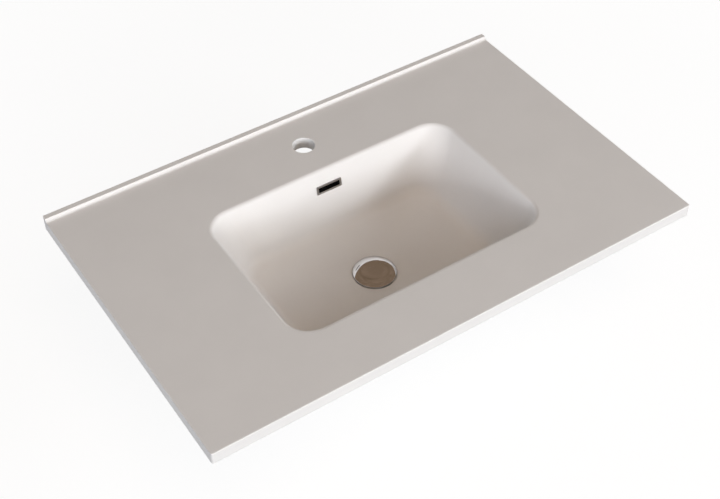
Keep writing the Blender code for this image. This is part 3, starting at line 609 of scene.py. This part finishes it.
class Surface:
    """A Principled material whose colour, roughness and relief vary over the piece."""

    def __init__(self, name, colour, roughness, metallic=0.0):
        self.material = bpy.data.materials.new(name)
        self.material.use_nodes = True
        self.tree = self.material.node_tree
        self.shader = self.tree.nodes["Principled BSDF"]
        self.colour = colour
        self.shader.inputs["Base Color"].default_value = (*colour, 1)
        self.shader.inputs["Roughness"].default_value = roughness
        self.shader.inputs["Metallic"].default_value = metallic
        self.material.diffuse_color = (*colour, 1)
        self.coords = self.node("ShaderNodeTexCoord").outputs["Object"]

    def node(self, kind):
        return self.tree.nodes.new(kind)

    def link(self, a, b):
        self.tree.links.new(a, b)

    def noise(self, scale, detail=3.0, stretch=None):
        source = self.coords
        if stretch:
            mapping = self.node("ShaderNodeMapping")
            mapping.inputs["Scale"].default_value = stretch
            self.link(self.coords, mapping.inputs["Vector"])
            source = mapping.outputs["Vector"]
        noise = self.node("ShaderNodeTexNoise")
        noise.inputs["Scale"].default_value = scale
        noise.inputs["Detail"].default_value = detail
        self.link(source, noise.inputs["Vector"])
        return noise.outputs["Fac"]

    def span(self, value, low, high, start=0.3, end=0.7):
        return spanned(self.tree, value, low, high, start, end)

    def mix(self, factor, a, b):
        return mixed(self.tree, factor, a, b)

    def tint(self, factor, share):
        """The colour, drifting to a darker or lighter share of itself by a factor."""
        return self.mix(factor, self.colour, tuple(min(1.0, c * share) for c in self.colour))

    def paint(self, colour):
        self.link(colour, self.shader.inputs["Base Color"])

    def polish(self, value):
        self.link(value, self.shader.inputs["Roughness"])

    def relief(self, height, strength, distance, over=None):
        bump = self.node("ShaderNodeBump")
        bump.inputs["Strength"].default_value = strength
        bump.inputs["Distance"].default_value = distance
        self.link(height, bump.inputs["Height"])
        if over:
            self.link(over, bump.inputs["Normal"])
        self.link(bump.outputs["Normal"], self.shader.inputs["Normal"])
        return bump.outputs["Normal"]


def cast_marble():
    """Satin gel coat on the show side, coarser and duller on the raw underside."""
    s = Surface("cast_marble", (0.88, 0.852, 0.829), 0.42)
    geometry = s.node("ShaderNodeNewGeometry")
    axes = s.node("ShaderNodeSeparateXYZ")
    s.link(geometry.outputs["Normal"], axes.inputs["Vector"])
    raw = s.span(axes.outputs["Z"], 1.0, 0.0, -0.6, -0.3)
    show = s.tint(s.span(s.noise(14.0, 2.0), 0, 1), 0.975)
    grain = s.mix(s.span(s.noise(2600.0, 2.0), 0, 1, 0.62, 0.74), show,
                  tuple(c * 0.93 for c in s.colour))
    rough = s.mix(s.span(s.noise(160.0, 4.0), 0, 1), (0.74, 0.72, 0.68), (0.81, 0.79, 0.745))
    s.paint(s.mix(raw, grain, rough))
    satin = s.span(s.noise(45.0, 3.0), 0.38, 0.46)
    dull = s.node("ShaderNodeMix")
    s.link(raw, dull.inputs[0])
    s.link(satin, dull.inputs[2])
    dull.inputs[3].default_value = 0.72
    s.polish(dull.outputs[0])
    coarse = maths(s.tree, 'MULTIPLY', raw, s.noise(420.0, 4.0))
    over = s.relief(s.noise(900.0, 2.0), 0.05, 0.0002)
    s.relief(coarse, 0.4, 0.0006, over)
    return s.material


def chrome():
    s = Surface("bright_chrome", (0.70, 0.70, 0.71), 0.07, 1.0)
    s.paint(s.tint(s.span(s.noise(60.0, 3.0), 0, 1), 0.97))
    s.polish(s.span(s.noise(220.0, 4.0), 0.05, 0.10))
    s.relief(s.noise(500.0, 2.0), 0.02, 0.0001)
    return s.material


def turned_brass():
    s = Surface("turned_brass", (0.70, 0.55, 0.30), 0.3, 1.0)
    s.paint(s.tint(s.span(s.noise(180.0, 4.0), 0, 1), 0.80))
    s.polish(s.span(s.noise(300.0, 3.0), 0.24, 0.40))
    s.relief(s.noise(90.0, 2.0, (1, 1, 60)), 0.15, 0.0001)
    return s.material


def spring_steel():
    s = Surface("drawn_steel", (0.55, 0.55, 0.56), 0.3, 1.0)
    s.paint(s.tint(s.span(s.noise(400.0, 3.0), 0, 1), 0.85))
    s.polish(s.span(s.noise(700.0, 3.0), 0.25, 0.38))
    return s.material


def black_rubber():
    s = Surface("black_rubber", (0.030, 0.030, 0.031), 0.75)
    s.paint(s.tint(s.span(s.noise(120.0, 4.0), 0, 1), 1.9))
    s.polish(s.span(s.noise(300.0, 3.0), 0.62, 0.85))
    s.relief(s.noise(1500.0, 2.0), 0.25, 0.0001)
    return s.material


def moulded_plastic(name, colour, roughness, grain):
    s = Surface(name, colour, roughness)
    s.paint(s.tint(s.span(s.noise(40.0, 3.0), 0, 1), 0.95))
    s.polish(s.span(s.noise(200.0, 3.0), roughness - 0.06, roughness + 0.06))
    s.relief(s.noise(grain, 2.0), 0.12, 0.0001)
    return s.material


def sleeve_painted_shade():
    """Painted shade: near black without a sheen, standing in for the shade deep inside the
    overflow.
    """
    material = moulded_plastic("sleeve_painted_shade", (0.004, 0.004, 0.004), 0.8, 1500.0)
    shader = material.node_tree.nodes["Principled BSDF"]
    # The weak sheen keeps the painted shade of the overflow's inside near black
    shader.inputs["Specular IOR Level"].default_value = 0.1
    return material


SURFACES = {
    "cast_marble": cast_marble(),
    "chrome": chrome(),
    "plain_brass": turned_brass(),
    "spring_steel": spring_steel(),
    "black_rubber": black_rubber(),
    "grey_plastic": moulded_plastic("grey_plastic", (0.60, 0.61, 0.62), 0.48, 1800.0),
    "white_acetal": moulded_plastic("white_acetal", (0.84, 0.84, 0.82), 0.40, 1200.0),
}
SLOT_OF = {row["node"]: row["material_slot"] for row in frame["record"]["subparts"]}
BODIES = frame["record"]["behaviour"]["bodies"]


def dress(piece, node):
    """A finer piece that stands for a node, on its body and of its material."""
    slot_name = SLOT_OF[node]
    piece.data.materials.clear()
    piece.data.materials.append(SURFACES[slot_name])
    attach(piece, next(b for b, nodes in BODIES.items() if node in nodes))
    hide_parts(node)


for name, node in frame["nodes"].items():
    for material_slot in node.material_slots:
        material_slot.material = SURFACES[SLOT_OF[name]]
dress(basin_casting(), "basin_top")
trim = overflow_frame()
dress(trim, "overflow_trim")
# The second material is painted shade for the inside of the overflow
trim.data.materials.append(sleeve_painted_shade())
# The faces behind the wall's surface are the sleeve's, and carry the near-black painted shade of
# the overflow's inside
for face in trim.data.polygons:
    face.material_index = 1 if off_back_wall(face.center) < 0 else 0
dress(waste_and_tail(), "waste_body")
dress(domed_cap(), "plug_cap")


# Studio

def aimed(obj, place, target):
    obj.location = place
    obj.rotation_euler = (Vector(target) - Vector(place)).to_track_quat('-Z', 'Y').to_euler()


def area_lamp(name, azimuth, elevation, width, height, watts, colour=(1, 1, 1)):
    """A far soft box that mirrors don't show, of a width and height in metres.

    Angles are in degrees: azimuth 0 stands in front and 90 to the right.
    """
    light = bpy.data.lights.new(name, 'AREA')
    light.shape = 'RECTANGLE'
    light.size = width
    light.size_y = height
    light.energy = watts
    light.color = colour
    lamp = bpy.data.objects.new(name, light)
    bpy.context.scene.collection.objects.link(lamp)
    lamp.visible_camera = False
    lamp.visible_glossy = False
    a, e = math.radians(azimuth), math.radians(elevation)
    centre = Vector((0, WASTE_Y, 0))
    way = Vector((math.sin(a) * math.cos(e), -math.cos(a) * math.cos(e), math.sin(e)))
    aimed(lamp, centre + LAMP_REACH * way, centre)


def seen_rays(tree):
    """1 for rays from the camera, mirrors and glass, and 0 for other rays."""
    path = tree.nodes.new("ShaderNodeLightPath")
    total = path.outputs["Is Camera Ray"]
    for name in ("Is Glossy Ray", "Is Transmission Ray"):
        total = maths(tree, 'MAXIMUM', total, path.outputs[name])
    return total


def floor():
    """A pale floor that keeps the basin's shadow and turns white further off."""
    bm = bmesh.new()
    bmesh.ops.create_grid(bm, x_segments=1, y_segments=1, size=FLOOR_REACH)
    obj = new_object("floor", mesh_of(bm, "floor"))
    obj.location.z = TAIL_Z - FLOOR_GAP
    made = bpy.data.materials.new("floor")
    made.use_nodes = True
    tree = made.node_tree
    shader = tree.nodes["Principled BSDF"]
    shader.inputs["Base Color"].default_value = (0.2, 0.2, 0.2, 1)
    shader.inputs["Roughness"].default_value = 0.9
    shader.inputs["Emission Color"].default_value = (1, 1, 1, 1)
    reach = tree.nodes.new("ShaderNodeVectorMath")
    reach.operation = 'LENGTH'
    tree.links.new(tree.nodes.new("ShaderNodeTexCoord").outputs["Object"], reach.inputs[0])
    rise = spanned(tree, reach.outputs["Value"], FLOOR_GLOW, 1.0, GLOW_RISES, GLOW_ENDS)
    glow = maths(tree, 'MULTIPLY', seen_rays(tree), rise)
    tree.links.new(glow, shader.inputs["Emission Strength"])
    obj.data.materials.append(made)


def surroundings(tree):
    """White all round, but overhead a dim mottled brown that mirrors alone show."""
    place = tree.nodes.new("ShaderNodeTexCoord").outputs["Generated"]
    axes = tree.nodes.new("ShaderNodeSeparateXYZ")
    tree.links.new(place, axes.inputs[0])
    overhead = spanned(tree, axes.outputs["Z"], 0.0, 1.0, 0.25, 0.50, 'SMOOTHSTEP')
    mirrored = tree.nodes.new("ShaderNodeLightPath").outputs["Is Glossy Ray"]
    mottle = tree.nodes.new("ShaderNodeTexNoise")
    mottle.inputs["Scale"].default_value = 7.0
    tree.links.new(place, mottle.inputs["Vector"])
    brown = mixed(tree, mottle.outputs["Fac"], (0.13, 0.088, 0.052), (0.32, 0.225, 0.160))
    return mixed(tree, maths(tree, 'MULTIPLY', overhead, mirrored), (1, 1, 1), brown)


def world():
    """A weak even light, and for the camera and mirrors the surroundings instead."""
    made = bpy.data.worlds.new("studio")
    bpy.context.scene.world = made
    made.use_nodes = True
    tree = made.node_tree
    even = tree.nodes["Background"]
    even.inputs["Color"].default_value = (1, 1, 1, 1)
    even.inputs["Strength"].default_value = 0.08
    shown = tree.nodes.new("ShaderNodeBackground")
    tree.links.new(surroundings(tree), shown.inputs["Color"])
    mix = tree.nodes.new("ShaderNodeMixShader")
    tree.links.new(seen_rays(tree), mix.inputs[0])
    tree.links.new(even.outputs[0], mix.inputs[1])
    tree.links.new(shown.outputs[0], mix.inputs[2])
    tree.links.new(mix.outputs[0], tree.nodes["World Output"].inputs[0])


def camera():
    """The photograph's view, fitted to the slab's corners and edges."""
    data = bpy.data.cameras.new("camera")
    data.lens = 64.0
    data.sensor_width = 36.0
    obj = bpy.data.objects.new("camera", data)
    bpy.context.scene.collection.objects.link(obj)
    obj.location = (-0.75919, -1.34024, 1.30792)
    obj.rotation_euler = (math.radians(44.64), 0, math.radians(-33.73))
    bpy.context.scene.camera = obj


floor()
world()
camera()
area_lamp("key", 42, 19, 1.5, 1.5, 134, (0.96, 1.0, 1.0))
area_lamp("key_side", 55, 24, 3.6, 2.4, 162, (0.80, 0.88, 1.0))
area_lamp("front", -14, 13, 4.2, 2.25, 412, (0.94, 0.97, 1.0))
area_lamp("front_low", -8, 5, 4.2, 1.2, 62, (0.94, 0.97, 1.0))
area_lamp("left", -68, 14, 3.6, 3.0, 194, (0.82, 0.88, 1.0))
area_lamp("top", 0, 65, 6.0, 6.0, 182, (1.0, 0.79, 0.60))
area_lamp("back", 180, 6, 7.5, 1.6, 150)
area_lamp("right", 100, 6, 4.5, 1.5, 90)
area_lamp("back_left", -135, 30, 4.5, 4.5, 20)
bpy.context.scene.view_settings.view_transform = 'Standard'
